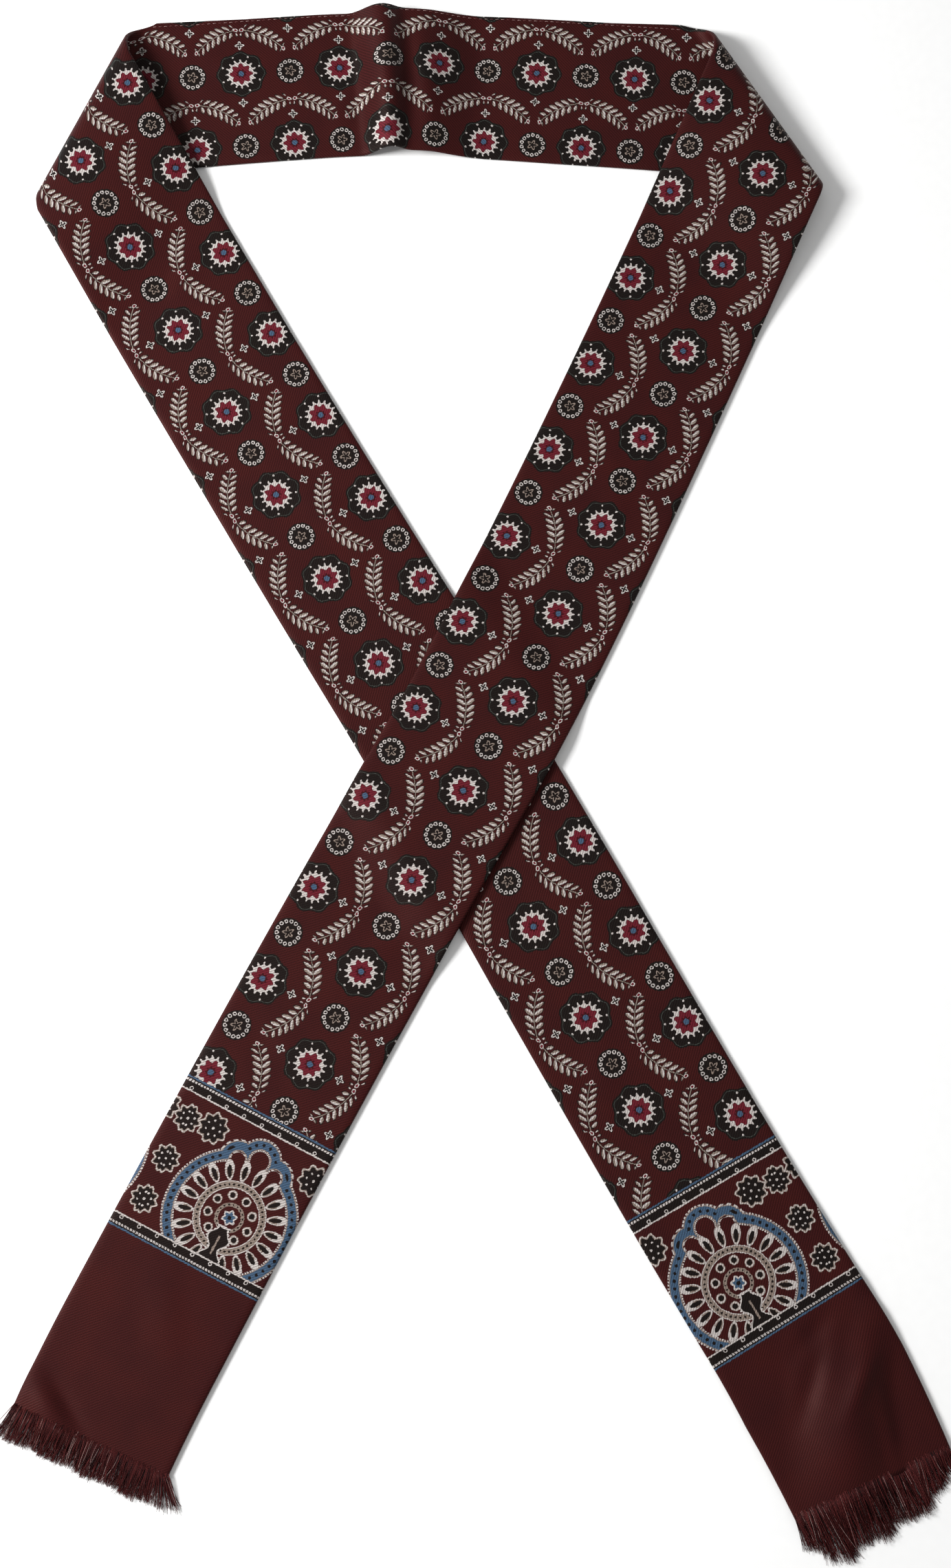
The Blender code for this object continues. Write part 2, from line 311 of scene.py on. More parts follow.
ARCH_UP = 21.0  # from the inner stripe to the middle of the great ring
ARCH_RADIUS = 29.5
CROWN_UP = 50.5
CROWN_RADIUS = 7.6
SHOULDER_UP = 46.5
SHOULDER_ACROSS = 9.5
SHOULDER_RADIUS = 6.5
BLUE_HALF = 1.95  # half widths of the band's inks
EDGED_HALF = 2.35
TOOTHED_HALF = 3.1
TOOTH_HALF = 0.42
TOOTH_PITCH = 1.35
ARCH_DOT = 0.78
ARCH_DOT_PITCH = 3.5

PETALS = 19
PETAL_ROOT = 22.0  # radius at which they are spaced out
PETAL_MIDDLE = 22.3
PETAL_LENGTH = 4.9
PETAL_WIDTH = 2.15
PETAL_TIP = 0.5
PETAL_RIM = 0.2
PETAL_SOFT = 0.1
SLIT_INWARDS = 0.6
SLIT_LENGTH = 3.2
SLIT_WIDTH = 1.1

RING = Line(15.6, 1.35)
RING_EDGE = Line(15.6, 1.75)
RING_BEADS = Beads(44, 15.6, 0.55)
BUDS = Beads(9, 10.6, 2.35)
BUD_PIPING = Line(-0.55, 0.28)
BUD_RIM = 1.05
SMALL_RING = Line(6.2, 0.85)
SMALL_RING_BEADS = Beads(18, 6.2, 0.42)
MIDDLE_LOBES = 6
MIDDLE = Lobes(3.3, 0.5)
MIDDLE_RIM = 0.9
MIDDLE_EYE = 1.0

PALMETTE_UP = 15.5
PALMETTE_HALF = 3.6
PALMETTE_SWELL = 1.5
PALMETTE_WAVE = 0.62  # radians to a millimetre
FRILL_WIDTH = 0.9
FRILL_DEPTH = 0.35
FRILL_WAVE = 4.6
RIB = Line(7.0, 4.6)
RIB_HALF = 0.5

BLOSSOM_UP = 54.0
BLOSSOM_ACROSS = 27.0
BLOSSOM_RADIUS = 7.2
JOIN_TIER = 21.0  # where two arches meet, blossoms stand this far apart
JOIN_RADIUS = 6.4
BLOSSOM_LOBES = 9
BLOSSOM_DEPTH = 0.75
BLOSSOM_PIPING = Line(-0.5, 0.24)
BLOSSOM_RIM = 1.25
BLOSSOM_SEEDS = 7
BLOSSOM_SEED = 0.5
BLOSSOM_EYE = 0.6

BLUE_LINE = Line(0.55, 0.4)
DASHED_LINE = Line(2.1, 0.5)
DASH_HALF = 0.52
DASH_PITCH = 1.55
DOT_DEPTH = 5.3
DOT_PITCH = 9.5
DOT_RIM = Line(0.75, 0.2)
CREAM_LINE = Line(6.55, 0.36)

# The weave
WALE = 1.1  # from one diagonal line to the next
WALE_STRENGTH = 0.35
WALE_DEPTH = 0.00012  # metres
WALE_HEIGHT = 0.5  # shares of that depth
FLECK_HEIGHT = 1.2
SHADE = 0.95  # the colour's brightness, and how much the lines and the flecks change it; the lines paint shade in the weave's grooves and a highlight on its ridges
WALE_PAINTED_SHADE = 0.3
FLECK_SHADE = 0.7
FLECK_SCALE = 2.4  # to a millimetre
SMUDGE_SCALE = 0.9
MOTTLE_SCALE = 0.045
MOTTLE_DETAIL = 2.0
MOTTLE_SOFT = 0.5
TWILL_ROUGH = 0.46
MOTTLE_ROUGH = 0.2
TWILL_GLOSS = 0.14
GLOSS_TINT = (1.0, 0.55, 0.5, 1.0)
TWILL_SHEEN = 0.02
SHEEN_ROUGH = 0.35
SHEEN_TINT = (1.0, 0.5, 0.45, 1.0)

# The camera, on a stand over the table, tipped a little from straight down
LENS = 63.16
TILT = 12.7
DISTANCE = 1326.83
AIM = (1.03, -21.85)

# The table and the light
TABLE_SIZE = 4.0  # metres
TABLE_LEVEL = -0.0001  # just clear of the cloth
TABLE_COLOUR = (0.93, 0.93, 0.925)
CARD_GRAIN = 220.0  # to a metre
SKY = (1.0, 1.0, 1.0, 1.0)
SKY_STRENGTH = 0.46
KEY_PLACE = (-1.05, 0.12, 0.8)  # metres
KEY_SIZE = 0.45
KEY_POWER = 28.0


def eased(share):
    """From 0 to 1, level at both ends."""
    share = np.clip(share, 0.0, 1.0)
    return share * share * (3 - 2 * share)


class Route:
    """A stretch's centre line, walked a millimetre at a time and turning evenly from bend to bend."""

    def __init__(self, start, bends, seam):
        self.seam = seam  # +1 where the seamed edge is on the left of the heading
        self.length = bends[-1].along
        steps = np.arange(0.0, self.length + 1.0)
        knots = [bend.along for bend in bends]
        heading = np.radians(np.interp(steps, knots, [bend.heading for bend in bends]))
        self.widths = np.interp(steps, knots, [bend.width for bend in bends])
        self.ahead = np.stack([np.cos(heading), np.sin(heading)], axis=1)
        self.sides = seam * np.stack([-np.sin(heading), np.cos(heading)], axis=1)
        strides = (self.ahead[1:] + self.ahead[:-1]) / 2
        self.line = np.array(start) + np.vstack([[0, 0], np.cumsum(strides, axis=0)])

    def step(self, along):
        return np.clip(np.round(along), 0, len(self.line) - 1).astype(int)

    def half(self, along):
        return float(self.widths[self.step(along)]) / 2

    def points(self, along, across):
        """Places on the table for arrays of distances along and across."""
        step = self.step(along)
        ahead = self.ahead[step] * (along - step)[:, None]
        return self.line[step] + ahead + self.sides[step] * across[:, None]

    def across(self, points):
        """How far places lie from the line, towards the seamed edge."""
        far = ((points[:, None, :] - self.line[None, :, :]) ** 2).sum(axis=2)
        step = np.argmin(far, axis=1)
        return ((points - self.line[step]) * self.sides[step]).sum(axis=1)


UNDER = Route(UNDER_START, UNDER_BENDS, 1)
OVER = Route(OVER_START, OVER_BENDS, -1)
NECK = Route(NECK_START, NECK_BENDS, 1)


class Fold:
    """The outermost line of a leg's roll, through the start of its centre line."""

    def __init__(self, leg, slant):
        self.slope = math.tan(math.radians(slant))
        self.start = leg.line[0]
        along = leg.sides[0] + leg.ahead[0] * self.slope
        self.along = along / np.linalg.norm(along)
        inward = leg.ahead[0] - self.along * (leg.ahead[0] @ self.along)
        self.inward = inward / np.linalg.norm(inward)
        self.edge = leg.half(0)

    def radius(self, across):
        share = (across + self.edge) / (2 * self.edge)
        return ROLL_LOWER + (ROLL_UPPER - ROLL_LOWER) * share

    def distance(self, points):
        return (points - self.start) @ self.inward

    def cut(self, route, guess, across, distance):
        """Where lines at these distances across a route meet one at a distance from the fold."""
        guesses = np.full(len(across), float(guess))
        short = distance - self.distance(route.points(guesses, across))
        return guess + short / float(route.ahead[route.step(guess)] @ self.inward)


UNDER_FOLD = Fold(UNDER, UNDER_SLANT)
OVER_FOLD = Fold(OVER, OVER_SLANT)


def great(ridges):
    return [ridge for ridge in ridges if abs(ridge.height) > GREAT]


def slight(ridges):
    return [ridge for ridge in ridges if abs(ridge.height) <= GREAT]


def ridge_height(ridges, along, across):
    height = np.zeros(len(across))
    for ridge in ridges:
        turn = math.radians(ridge.turn)
        ahead, aside = along - ridge.along, across - ridge.across
        off = ahead * math.cos(turn) - aside * math.sin(turn)
        down = ahead * math.sin(turn) + aside * math.cos(turn)
        width = np.where(off < 0, ridge.rise, ridge.fall)
        height += ridge.height * eased(1 - abs(off) / width) * eased(1 - abs(down) / ridge.reach)
    return height


def carried(outside):
    """Lift at a distance outside the edge of the stretch beneath."""
    return STACK * (1 - eased((outside - SHELF) / SLOPE))


def leg_height(route, fold, ridges, beneath, along, across):
    """Middle of a leg's two layers: lifted by what it lies on, and puffed up near its roll."""
    points = route.points(along, across)
    lift = carried(-NECK.across(points) - NECK.half(0))
    if beneath:
        outside = abs(beneath.across(points)) - beneath.half(beneath.length / 2)
        lift = np.maximum(lift, carried(outside))
    radius = fold.radius(across)
    puff = (2 * radius - lift) * (1 - eased((fold.distance(points) - radius) / SETTLE))
    return THICK / 2 + lift + puff + ridge_height(great(ridges), along, across)


def stations(start, end, shaped):
    """Places along a stretch, close together where the cloth is shaped."""
    places = [start]
    while places[-1] < end:
        here = places[-1]
        close = any(low - PLAIN_STEP / 2 < here < high for low, high in shaped)
        places.append(here + (SHAPED_STEP if close else PLAIN_STEP))
    shrink = (end - start) / (places[-1] - start)
    return [start + (place - start) * shrink for place in places]


def spots(half):
    """Distances of a section's points from the middle, closer together round the turned edges."""
    flat = np.linspace(-half + EDGE_SPOTS[-1], half - EDGE_SPOTS[-1], CELLS + 1)
    turn = half - np.array(EDGE_SPOTS[:-1])
    return np.concatenate([-turn, flat, turn[::-1]])


Row = namedtuple("Row", "middle strip across relief")


def leg_rows(route, fold, ridges, beneath, neck_end, squaring, shaped, reach):
    """Rows from under the roll, round it and to the leg's end. reach gives a row's distances on the strip."""
    rows = []
    across = spots(NECK.half(neck_end))
    lip_along = fold.cut(NECK, neck_end, across, LIP)
    lip = NECK.points(lip_along, across)
    lip_strip = reach("neck", lip_along)
    flat = np.full(len(across), THICK / 2)
    rows.append(Row(np.column_stack([lip, flat]), lip_strip, across, np.zeros(len(across))))
    across = spots(route.half(0))
    radius = fold.radius(across)
    top_along = fold.cut(route, 0, across, radius)
    top = route.points(top_along, across)
    top_strip = reach("leg", top_along)
    for turn in np.linspace(-math.pi / 2, math.pi / 2, ROLL_STEPS + 1)[:-1]:
        share = radius * (math.pi / 2 - turn) / (radius * math.pi + LIP - radius)
        sideways = (1 - share) * (top @ fold.along) + share * (lip @ fold.along)
        inward = fold.start @ fold.inward + radius * (1 - math.cos(turn))
        place = sideways[:, None] * fold.along + inward[:, None] * fold.inward
        level = THICK / 2 + radius * (1 + math.sin(turn))
        strip = (1 - share) * top_strip + share * lip_strip
        rows.append(Row(np.column_stack([place, level]), strip, across, np.zeros(len(across))))
    first = float(fold.radius(0) / (fold.inward @ route.ahead[0]))
    low, high = squaring
    for place in stations(first, route.length, shaped):
        slope = fold.slope * (1 - eased((place - low) / (high - low)))
        across = spots(route.half(place))
        along = place + slope * across
        if place == first:
            along = top_along
        level = leg_height(route, fold, ridges, beneath, along, across)
        relief = ridge_height(slight(ridges), along, across)
        points = route.points(along, across)
        rows.append(Row(np.column_stack([points, level]), reach("leg", along), across, relief))
    return rows


def neck_rows(reach):
    """Rows between the lips of the two rolls."""
    rows = []
    inset = LIP + LIP_GAP
    for place in stations(0, NECK.length, NECK_SHAPED):
        share = place / NECK.length
        across = spots(NECK.half(place))
        left = UNDER_FOLD.cut(NECK, 0, across, inset)
        right = OVER_FOLD.cut(NECK, NECK.length, across, inset)
        along = left + (right - left) * share
        level = THICK / 2 + ridge_height(great(NECK_RIDGES), along, across)
        relief = ridge_height(slight(NECK_RIDGES), along, across)
        points = NECK.points(along, across)
        rows.append(Row(np.column_stack([points, level]), reach(along), across, relief))
    return rows


def roll_length(fold):
    """Cloth taken up by the middle of a roll, from the top of the leg to the lip."""
    return float(fold.radius(0)) * math.pi + LIP - float(fold.radius(0))


def middle_cut(route, fold, guess, distance):
    return float(fold.cut(route, guess, np.zeros(1), distance)[0])


UNDER_TOP = middle_cut(UNDER, UNDER_FOLD, 0, float(UNDER_FOLD.radius(0)))
OVER_TOP = middle_cut(OVER, OVER_FOLD, 0, float(OVER_FOLD.radius(0)))
LEFT_LIP = middle_cut(NECK, UNDER_FOLD, 0, LIP)
RIGHT_LIP = middle_cut(NECK, OVER_FOLD, NECK.length, LIP)
NECK_AT = UNDER.length - UNDER_TOP + roll_length(UNDER_FOLD) - LEFT_LIP  # strip distance of the neck's start
OVER_AT = NECK_AT + RIGHT_LIP + roll_length(OVER_FOLD) - OVER_TOP
STRIP = OVER_AT + OVER.length


def under_reach(stretch, along):
    return UNDER.length - along if stretch == "leg" else NECK_AT + along


def neck_reach(along):
    return NECK_AT + along


def over_reach(stretch, along):
    return OVER_AT + along if stretch == "leg" else NECK_AT + along


def strip_rows():
    """The whole strip, from the end of the leg beneath to the end of the leg on top."""
    under = leg_rows(
        UNDER, UNDER_FOLD, UNDER_RIDGES, None, 0, UNDER_SQUARING, UNDER_SHAPED, under_reach
    )
    over = leg_rows(
        OVER, OVER_FOLD, OVER_RIDGES, UNDER, NECK.length, OVER_SQUARING, OVER_SHAPED, over_reach
    )
    return [*reversed(under), *neck_rows(neck_reach), *over]


def turned_edge(across):
    """How full the section is at each spot: nothing at its edges, and whole from where their turn ends."""
    inside = np.minimum((across.max() - abs(across)) / EDGE_SPOTS[-1], 1.0)
    return np.sqrt(np.maximum(1 - (1 - inside) ** 2, 0))


def seam_pucker(row):
    """Shallow hollows between the stitches, beside the seamed edge."""
    inwards = row.across.max() - row.across
    wave = 0.5 + 0.5 * np.cos(2 * math.pi * row.strip / PUCKER_PITCH)
    return -PUCKER * wave * eased(1 - inwards / PUCKER_DEPTH)


def linked(name, mesh, *materials):
    """The mesh as a named object with its materials, smooth."""
    bmesh.ops.recalc_face_normals(mesh, faces=mesh.faces)
    data = bpy.data.meshes.new(name)
    mesh.to_mesh(data)
    mesh.free()
    for material in materials:
        data.materials.append(material)
    data.shade_smooth()
    piece = bpy.data.objects.new(name, data)
    bpy.context.scene.collection.objects.link(piece)
    return piece


def zone(strips):
    """Which finish a face takes, from its corners' distances along the strip."""
    from_end = np.minimum(np.array(strips) + UNDER_SHORT, STRIP - np.array(strips))
    if from_end.min() > BAND_START + BAND_LENGTH + ZONE_MARGIN:
        return FIELD_ZONE
    return PLAIN_ZONE if from_end.max() < BAND_START - ZONE_MARGIN else BORDER_ZONE


def dressed_cloth(finishes):
    """The strip as one tube of thin twill, with its distances along and round kept for the print."""
    rows = strip_rows()
    middle = np.array([row.middle for row in rows])
    down, over = np.gradient(middle, axis=0), np.gradient(middle, axis=1)
    out = np.cross(over, down)
    out /= np.linalg.norm(out, axis=2)[:, :, None]
    if out[0, 0, 2] < 0:
        out = -out
    mesh = bmesh.new()
    chart = mesh.loops.layers.uv.new("strip")
    rings, charts = [], []
    for row, normals in zip(rows, out):
        full = turned_edge(row.across)[:, None] * THICK / 2
        shaped = ((row.relief + seam_pucker(row)) * turned_edge(row.across))[:, None]
        hollow = (UNDERSIDE * np.minimum(-row.relief, 0) * turned_edge(row.across))[:, None]
        facing_up = (normals[:, 2] > 0)[:, None]
        upper = row.middle + normals * (full + np.where(facing_up, shaped, hollow))
        lower = row.middle - normals * (full + np.where(facing_up, hollow, shaped))
        ring = [*upper, *lower[-2:0:-1]]
        sideways = row.across * WIDTH / 2 / row.across.max()
        strip = [*row.strip, *row.strip[-2:0:-1]]
        girth = [*(WIDTH / 2 - sideways), *(GIRTH - WIDTH / 2 + sideways)[-2:0:-1]]
        rings.append([mesh.verts.new(place * MM) for place in ring])
        charts.append(list(zip(strip, girth)))
    for ring, following, here, there in zip(rings, rings[1:], charts, charts[1:]):
        for corner in range(len(ring)):
            after = (corner + 1) % len(ring)
            face = mesh.faces.new((ring[corner], ring[after], following[after], following[corner]))
            places = [here[corner], here[after], there[after], there[corner]]
            face.material_index = zone([strip for strip, girth in places])
            for loop, (strip, girth) in zip(face.loops, unwrapped(places)):
                loop[chart].uv = (strip * MM, girth * MM)
    piece = linked("printed_twill", mesh, *finishes)
    layer = piece.modifiers.new("Layer", "SOLIDIFY")
    layer.thickness = FACING * MM
    layer.offset = -1
    layer.use_even_offset = True
    return piece


def unwrapped(places):
    """Corners of one face with none of them on the far side of the place where the girth starts again."""
    nearest = places[0][1]
    return [(strip, girth + GIRTH * round((nearest - girth) / GIRTH)) for strip, girth in places]


def threads(name, paths, radii, shades, material):
    """Fine threads as three-sided tubes. Each has its own place from left to right on the thread chart."""
    mesh = bmesh.new()
    chart = mesh.loops.layers.uv.new("thread")
    for path, radius, shade in zip(paths, radii, shades):
        ahead = np.gradient(path, axis=0)
        ahead /= np.linalg.norm(ahead, axis=1)[:, None]
        aside = np.cross(ahead, (0.0, 0.0, 1.0))
        aside /= np.linalg.norm(aside, axis=1)[:, None]
        above = np.cross(aside, ahead)
        rings = []
        for number, place in enumerate(path):
            thin = radius * (1 - THREAD_TAPER * number / (len(path) - 1))
            ring = []
            for turn in THREAD_SIDES:
                corner = aside[number] * math.cos(turn) + above[number] * math.sin(turn)
                ring.append(mesh.verts.new((place + corner * thin) * MM))
            rings.append(ring)
        for number, (ring, following) in enumerate(zip(rings, rings[1:])):
            for corner in range(len(ring)):
                after = (corner + 1) % len(ring)
                face = mesh.faces.new((ring[corner], ring[after], following[after], following[corner]))
                for loop, along in zip(face.loops, (number, number, number + 1, number + 1)):
                    loop[chart].uv = (shade, along / (len(path) - 1))
        mesh.faces.new(reversed(rings[0]))
        mesh.faces.new(rings[-1])
    return linked(name, mesh, material)


def frayed_end(name, route, fold, ridges, beneath, locks, random, material):
    """The threads of both layers at a leg's end, in clumps that lean together and tips that come down."""
    half = route.half(route.length)
    knots = [lock.across for lock in locks]
    paths, radii, shades = [], [], []
    share = np.linspace(0, 1, THREAD_SPOTS)
    for layer in (-1, 1):
        places = (np.arange(THREADS) + random.uniform(0.0, 1.0, THREADS)) / THREADS
        across = (2 * places - 1) * (half - THREAD_INSET)
        ravel = random.uniform(*RAVEL, THREADS)
        along = route.length - ravel
        middle = leg_height(route, fold, ridges, beneath, along, across)
        roots = route.points(along, across)
        for number, place in enumerate(places):
            clump = math.sin(across[number] / CLUMPS[0]) + math.sin(across[number] / CLUMPS[1] + layer)
            lean = np.interp(place, knots, [lock.lean for lock in locks])
            lean += CLUMP_LEAN / 2 * clump + random.normal(0.0, STRAY)
            turn = math.radians(lean) * -route.seam
            reach = np.interp(place, knots, [lock.length for lock in locks])
            reach = ravel[number] + reach * random.uniform(SHORTEST, 1.0) * (1 - CLUMP_SHARE * clump)
            ahead, side = route.ahead[-1], route.sides[-1] * route.seam
            turned = ahead * math.cos(turn) + side * math.sin(turn)
            aside = np.array([-turned[1], turned[0]])
            curl = random.normal(0.0, CURL) * share ** CURL_POWER
            flat = roots[number] + np.outer(share * reach, turned) + np.outer(curl, aside)
            start = middle[number] + (THICK / 2 if layer > 0 else FACING / 2 - THICK / 2)
            pile = random.uniform(*THREAD_PILE)
            tip = THREAD_REST + (pile if layer > 0 else 0.0)
            level = tip + (start - tip) * (1 - eased(share * DROOP_RATE - DROOP_START))
            paths.append(np.column_stack([flat, level]))
            radii.append(random.uniform(*THREAD_RADIUS))
            shades.append(random.uniform(0.0, 1.0))
    return threads(name, paths, radii, shades, material)


def seam_stitches(material):
    """Running stitches beside the seam, on the side of the neck that shows."""
    paths = []
    dip = STITCH_DIP * np.linspace(-1, 1, STITCH_SPOTS) ** 4
    beside = np.array([NECK.half(0) - STITCH_INSET])
    left = float(UNDER_FOLD.cut(NECK, 0, beside, LIP)[0])
    right = float(OVER_FOLD.cut(NECK, NECK.length, beside, LIP)[0])
    for strip in np.arange(left, right, STITCH_PITCH):
        along = strip + np.linspace(-STITCH_LENGTH / 2, STITCH_LENGTH / 2, STITCH_SPOTS)
        across = np.full(STITCH_SPOTS, NECK.half(strip) - STITCH_INSET)
        level = THICK + ridge_height(NECK_RIDGES, along, across) + STITCH_RADIUS / 2 - dip
        paths.append(np.column_stack([NECK.points(along, across), level]))
    count = len(paths)
    return threads("seam_stitches", paths, [STITCH_RADIUS] * count, np.linspace(0, 1, count), material)


class Number:
    """A value that changes over a surface. Sums on it add Math nodes to its finish."""

    def __init__(self, finish, socket):
        self.finish = finish
        self.socket = socket

    def math(self, operation, *values):
        return self.finish.add("ShaderNodeMath", {"operation": operation}, dict(enumerate(values)))

    def __add__(self, other):
        return self.math("ADD", self, other)

    def __radd__(self, other):
        return self.math("ADD", other, self)

    def __sub__(self, other):
        return self.math("SUBTRACT", self, other)

    def __rsub__(self, other):
        return self.math("SUBTRACT", other, self)

    def __mul__(self, other):
        return self.math("MULTIPLY", self, other)

    def __rmul__(self, other):
        return self.math("MULTIPLY", other, self)

    def __truediv__(self, other):
        return self.math("DIVIDE", self, other)

    def __neg__(self):
        return 0.0 - self

    def __abs__(self):
        return self.math("ABSOLUTE", self)

    def floor(self):
        return self.math("FLOOR", self)

    def part(self):
        return self.math("FRACT", self)

    def cosine(self):
        return self.math("COSINE", self)

    def least(self, other):
        return self.math("MINIMUM", self, other)

    def most(self, other):
        return self.math("MAXIMUM", self, other)

    def above(self, other):
        return self.math("GREATER_THAN", self, other)

    def far(self, other):
        """Length of the line that goes this far one way and that far the other."""
        return self.math("SQRT", self * self + other * other)

    def angle(self, other):
        return self.math("ARCTAN2", self, other)

    def wrapped(self, period):
        """Distances that start again with each repeat and have 0 in its middle."""
        return (self.part() - 0.5) * period


class Finish:
    """A material and its nodes."""

    def __init__(self, name):
        self.material = bpy.data.materials.new(name)
        self.material.use_nodes = True
        self.tree = self.material.node_tree
        self.shader = self.tree.nodes["Principled BSDF"]

    def feed(self, socket, value):
        if isinstance(value, Number):
            self.tree.links.new(value.socket, socket)
        else:
            socket.default_value = value

    def add(self, kind, settings, values, output=0):
        node = self.tree.nodes.new(kind)
        for name, setting in settings.items():
            setattr(node, name, setting)
        for name, value in values.items():
            self.feed(node.inputs[name], value)
        return Number(self, node.outputs[output])

    def set(self, **values):
        for name, value in values.items():
            self.feed(self.shader.inputs[name.replace("_", " ")], value)

    def chart(self, name):
        """Places on one of the piece's charts, in millimetres."""
        place = self.add("ShaderNodeUVMap", {"uv_map": name}, {})
        return self.add("ShaderNodeVectorMath", {"operation": "SCALE"}, {0: place, "Scale": 1 / MM})

    def split(self, vector):
        one = self.add("ShaderNodeSeparateXYZ", {}, {0: vector})
        return one, Number(self, one.socket.node.outputs[1])

    def noise(self, place, scale, detail=0.0):
        settings = {"noise_dimensions": "2D"}
        return self.add("ShaderNodeTexNoise", settings, {"Vector": place, "Scale": scale, "Detail": detail})

    def inside(self, distance, soft=EDGE_SOFT):
        """1 where a distance from a shape's outline is negative and 0 outside it."""
        settings = {"operation": "MULTIPLY_ADD", "use_clamp": True}
        return self.add("ShaderNodeMath", settings, {0: distance, 1: -1 / soft, 2: 0.5})

    def laid(self, under, over, mask):
        """One colour printed over another where the mask is 1."""
        over = over if isinstance(over, Number) else (*over, 1.0)
        return self.add("ShaderNodeMix", {"data_type": "RGBA"}, {0: mask, 6: under, 7: over}, 2)

    def printed(self, colour, *inks):
        """Inks printed in turn, each with a distance from its outline and maybe how softly it ends."""
        for ink, distance, *soft in inks:
            colour = self.laid(colour, ink, self.inside(distance, *soft))
        return colour

    def scaled(self, colour, amount):
        return self.add("ShaderNodeVectorMath", {"operation": "SCALE"}, {0: colour, "Scale": amount})

    def bump(self, height, strength, depth):
        return self.add("ShaderNodeBump", {}, {"Strength": strength, "Distance": depth, "Height": height})


def lobed(far, wave, shape):
    """Distance outside a round shape with petals or scallops, one to each turn of the wave round it."""
    return far - shape.radius - shape.depth * wave


def beads(far, angle, row):
    """Distance outside a ring of small discs."""
    beside = (angle * (row.count / math.tau)).wrapped(math.tau * row.ring / row.count)
    return beside.far(far - row.ring) - row.radius


def lined(distance, line):
    """Distance outside a line that keeps one distance from something."""
    return abs(distance - line.middle) - line.half


def rosette(twill, colour, along, across):
    """A scalloped dark medallion with a cream ring, dark beads and an eight-petalled flower."""
    far, angle = along.far(across), across.angle(along)
    wave, teeth = (angle * ROSETTE_LOBES).cosine(), (angle * ROSETTE_TEETH).cosine()
    edge, petals = lobed(far, wave, ROSETTE_EDGE), lobed(far, wave, ROSETTE_PETALS)
    return twill.printed(
        colour,
        (INK, edge),
        (MOSS, lined(edge, ROSETTE_PIPING)),
        (CREAM, lobed(far, teeth, ROSETTE_FRILL).least(beads(far, angle, ROSETTE_DOTS))),
        (INK, beads(far, angle, ROSETTE_BEADS)),
        (DRIED_ROSE, petals - ROSETTE_OUTLINE),
        (CRIMSON, petals),
        (DRIED_ROSE, lobed(far, wave, ROSETTE_HEART)),
        (BLUE, far - ROSETTE_EYE),
    )


def roundel(twill, colour, along, across):
    """A small dark disc edged with cream loops, with a flower in its middle."""
    far, angle = along.far(across), across.angle(along)
    flower = lobed(far, (angle * ROUNDEL_PETALS).cosine(), ROUNDEL_FLOWER)
    return twill.printed(
        colour,
        (INK, far - ROUNDEL_RADIUS),
        (CREAM, abs(beads(far, angle, ROUNDEL_LOOPS)) - ROUNDEL_LOOP_LINE),
        (TAUPE, flower),
        (INK, flower + FLOWER_RIM),
    )


def star(twill, colour, along, across):
    """A tiny four-pointed outline."""
    far, angle = along.far(across), across.angle(along)
    points = lobed(far, (angle * STAR_POINTS).cosine(), STAR)
    return twill.printed(colour, (INK, points - STAR_OUTLINE), (CREAM, points), (INK, points + FLOWER_RIM))


def sprig(twill, colour, along, across):
    """A curved stem with pairs of pointed leaves, cream with taupe ribs and a thin dark outline."""
    bent = across + SPRIG_BEND * (along * along) - SPRIG_RISE
    within = abs(along) - SPRIG_REACH
    beside, out = (along / LEAF_PITCH).wrapped(LEAF_PITCH), abs(bent) - LEAF_OUT
    ahead, aside = LEAF_LEAN
    lengthwise = ahead * beside + aside * out
    sideways = aside * beside - ahead * out
    size = LEAF_SIZE - LEAF_SHRINK * (along * along)
    leaf = (lengthwise / LEAF_LENGTH).far(sideways / LEAF_WIDTH) - size
    stem = abs(bent) - STEM
    cream_half = (sideways * -LEAF_RIB).most(leaf)
    berry = (abs(along) - BERRY_ALONG).far(bent)
    return twill.printed(
        colour,
        (INK, within.most((leaf - LEAF_OUTLINE).least(stem - STEM))),
        (TAUPE, within.most(stem.least(leaf))),
        (CREAM, within.most(cream_half), LEAF_SOFT),
        (CREAM, berry - BERRY),
        (CRIMSON, berry - BERRY_HEART),
    )


def half_drop(twill, colour, along, round_tube):
    """The field: medallions and roundels in columns, each half a repeat on from the last, and sprigs."""
    lane = (round_tube + LANE_SHIFT) / LANE
    across = lane.wrapped(LANE)
    repeat = along / REPEAT + lane.floor() * 0.5
    beside_lane = lane + 0.5
    pitch = along / (REPEAT / 2) + beside_lane.floor()
    turn = 1.0 - 4.0 * (pitch.floor() * 0.5).part()  # 1 and -1 by turns
    ahead, aside = pitch.wrapped(REPEAT / 2), beside_lane.wrapped(LANE) * turn
    sine, cosine = math.sin(SPRIG_TURN), math.cos(SPRIG_TURN)
    colour = sprig(
        twill, colour, (ahead * cosine - aside * sine) * turn, (ahead * sine + aside * cosine) * turn
    )
    colour = star(twill, colour, repeat.wrapped(REPEAT), abs(across) - STAR_ACROSS)
    colour = roundel(twill, colour, (repeat + 0.5).wrapped(REPEAT), across)
    return rosette(twill, colour, repeat.wrapped(REPEAT), across)


def blossom(twill, colour, along, across, radius):
    """A dark flower head with scalloped cream and taupe edges."""
    far, angle = across.far(along), along.angle(across)
    edge = lobed(far, (angle * BLOSSOM_LOBES).cosine(), Lobes(radius, BLOSSOM_DEPTH))
    return twill.printed(
        colour,
        (TAUPE, edge),
        (CREAM, lined(edge, BLOSSOM_PIPING)),
        (INK, edge + BLOSSOM_RIM),
        (CREAM, beads(far, angle, Beads(BLOSSOM_SEEDS, radius / 2, BLOSSOM_SEED))),
        (CREAM, far - BLOSSOM_EYE),
    )


